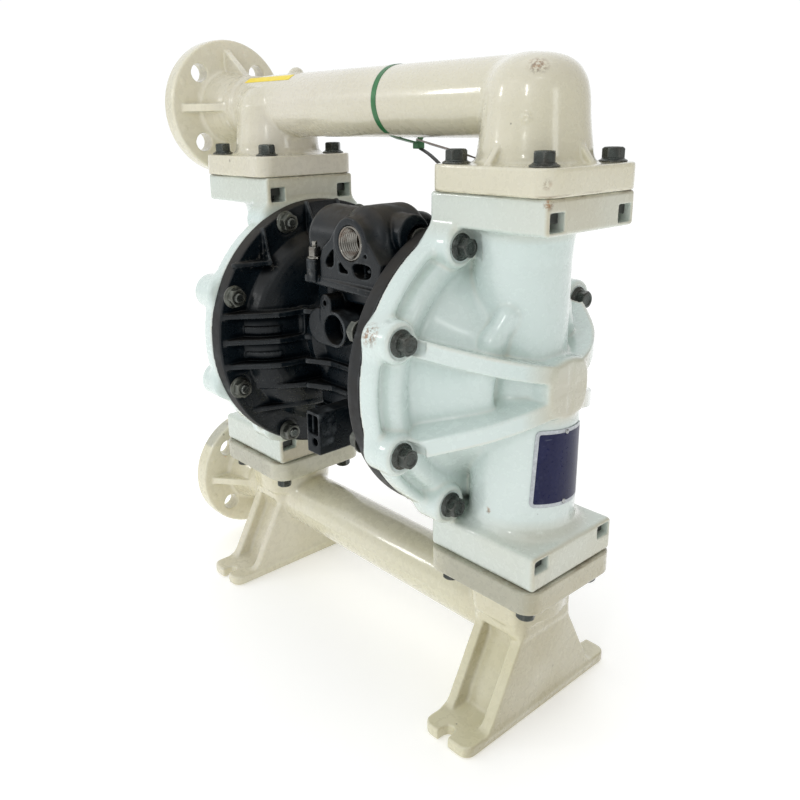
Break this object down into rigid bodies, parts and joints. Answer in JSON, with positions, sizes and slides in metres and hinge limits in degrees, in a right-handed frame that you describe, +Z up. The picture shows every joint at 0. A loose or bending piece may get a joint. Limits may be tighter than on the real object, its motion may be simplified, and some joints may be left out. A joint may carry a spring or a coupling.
{
  "type": "air operated diaphragm pump",
  "caption": "Air driven double diaphragm pump with moulded plastic fluid covers, a flanged inlet and outlet manifold, ball check valves and slotted feet.",
  "frame": {"origin": "centre of the four foot slots, on the floor plane, midway between the two fluid covers", "axes": "+X along the diaphragm rod towards the end without pipe flanges, +Z up, the air inlet and exhaust face -Y"},
  "size_m": [0.4185, 0.213, 0.4912],
  "materials": {
    "manifold": "natural polypropylene, ivory, slightly translucent, moulded satin gloss",
    "cover": "natural white fluoropolymer, cool white, smooth gloss",
    "black_plastic": "black glass filled plastic, dusty and scuffed",
    "insert_steel": "bright threaded steel insert",
    "zinc_steel": "dulled zinc plated steel",
    "bolt_steel": "dark coated steel",
    "acetal": "white acetal",
    "rod_steel": "ground stainless steel",
    "plate_plastic": "white polypropylene",
    "elastomer": "black elastomer",
    "label": "thin aluminium plate with a bare dark blue field and a silver border",
    "tie_green": "green nylon",
    "tag_foil": "grey brown film strip"
  },
  "bodies": {
    "root": {"inlet_manifold": "manifold", "outlet_manifold": "manifold", "fluid_cover_near": "cover", "fluid_cover_far": "cover", "air_cover_near": "black_plastic", "air_cover_far": "black_plastic", "center_housing": "black_plastic", "air_inlet_insert": "insert_steel", "valve_end_cap": "black_plastic", "valve_sleeve": "acetal", "ground_screw": "zinc_steel", "ground_nut": "zinc_steel", "shaft_bushes": "acetal", "shaft_seals": "elastomer", "centre_screws": "zinc_steel", "diaphragm_near": "elastomer", "diaphragm_far": "elastomer", "inlet_seat_near": "acetal", "inlet_seat_far": "acetal", "outlet_seat_near": "acetal", "outlet_seat_far": "acetal", "seat_o_rings": "elastomer", "cover_bolts_near": "bolt_steel", "cover_bolts_far": "bolt_steel", "cover_nuts_near": "zinc_steel", "cover_nuts_far": "zinc_steel", "outlet_manifold_bolts": "bolt_steel", "inlet_manifold_bolts": "bolt_steel", "outlet_square_nuts": "zinc_steel", "inlet_square_nuts": "zinc_steel", "label_plate": "label", "cable_tie": "tie_green", "hang_tag": "tag_foil"},
    "diaphragm_rod": {"shaft": "rod_steel", "air_plate_near": "rod_steel", "air_plate_far": "rod_steel", "fluid_plate_near": "plate_plastic", "fluid_plate_far": "plate_plastic", "shaft_bolts": "rod_steel"},
    "spool": {"valve_spool": "acetal"},
    "pin_near": {"pilot_pin_near": "rod_steel"},
    "pin_far": {"pilot_pin_far": "rod_steel"},
    "ball_inlet_near": {"inlet_ball_near": "elastomer"},
    "ball_inlet_far": {"inlet_ball_far": "elastomer"},
    "ball_outlet_near": {"outlet_ball_near": "elastomer"},
    "ball_outlet_far": {"outlet_ball_far": "elastomer"}
  },
  "joints": [
    {"name": "rod_stroke", "type": "slide", "parent": "root", "child": "diaphragm_rod", "axis": [1, 0, 0], "range_m": [-0.009, 0.009], "deforming": ["diaphragm_near", "diaphragm_far"]},
    {"name": "spool_shift", "type": "slide", "parent": "root", "child": "spool", "axis": [1, 0, 0], "range_m": [-0.005, 0.005]},
    {"name": "pilot_near_push", "type": "slide", "parent": "root", "child": "pin_near", "axis": [-1, 0, 0], "range_m": [0, 0.003]},
    {"name": "pilot_far_push", "type": "slide", "parent": "root", "child": "pin_far", "axis": [1, 0, 0], "range_m": [0, 0.003]},
    {"name": "ball_inlet_near_lift", "type": "slide", "parent": "root", "child": "ball_inlet_near", "axis": [0, 0, 1], "range_m": [0, 0.008]},
    {"name": "ball_inlet_far_lift", "type": "slide", "parent": "root", "child": "ball_inlet_far", "axis": [0, 0, 1], "range_m": [0, 0.008]},
    {"name": "ball_outlet_near_lift", "type": "slide", "parent": "root", "child": "ball_outlet_near", "axis": [0, 0, 1], "range_m": [0, 0.008]},
    {"name": "ball_outlet_far_lift", "type": "slide", "parent": "root", "child": "ball_outlet_far", "axis": [0, 0, 1], "range_m": [0, 0.008]}
  ]
}
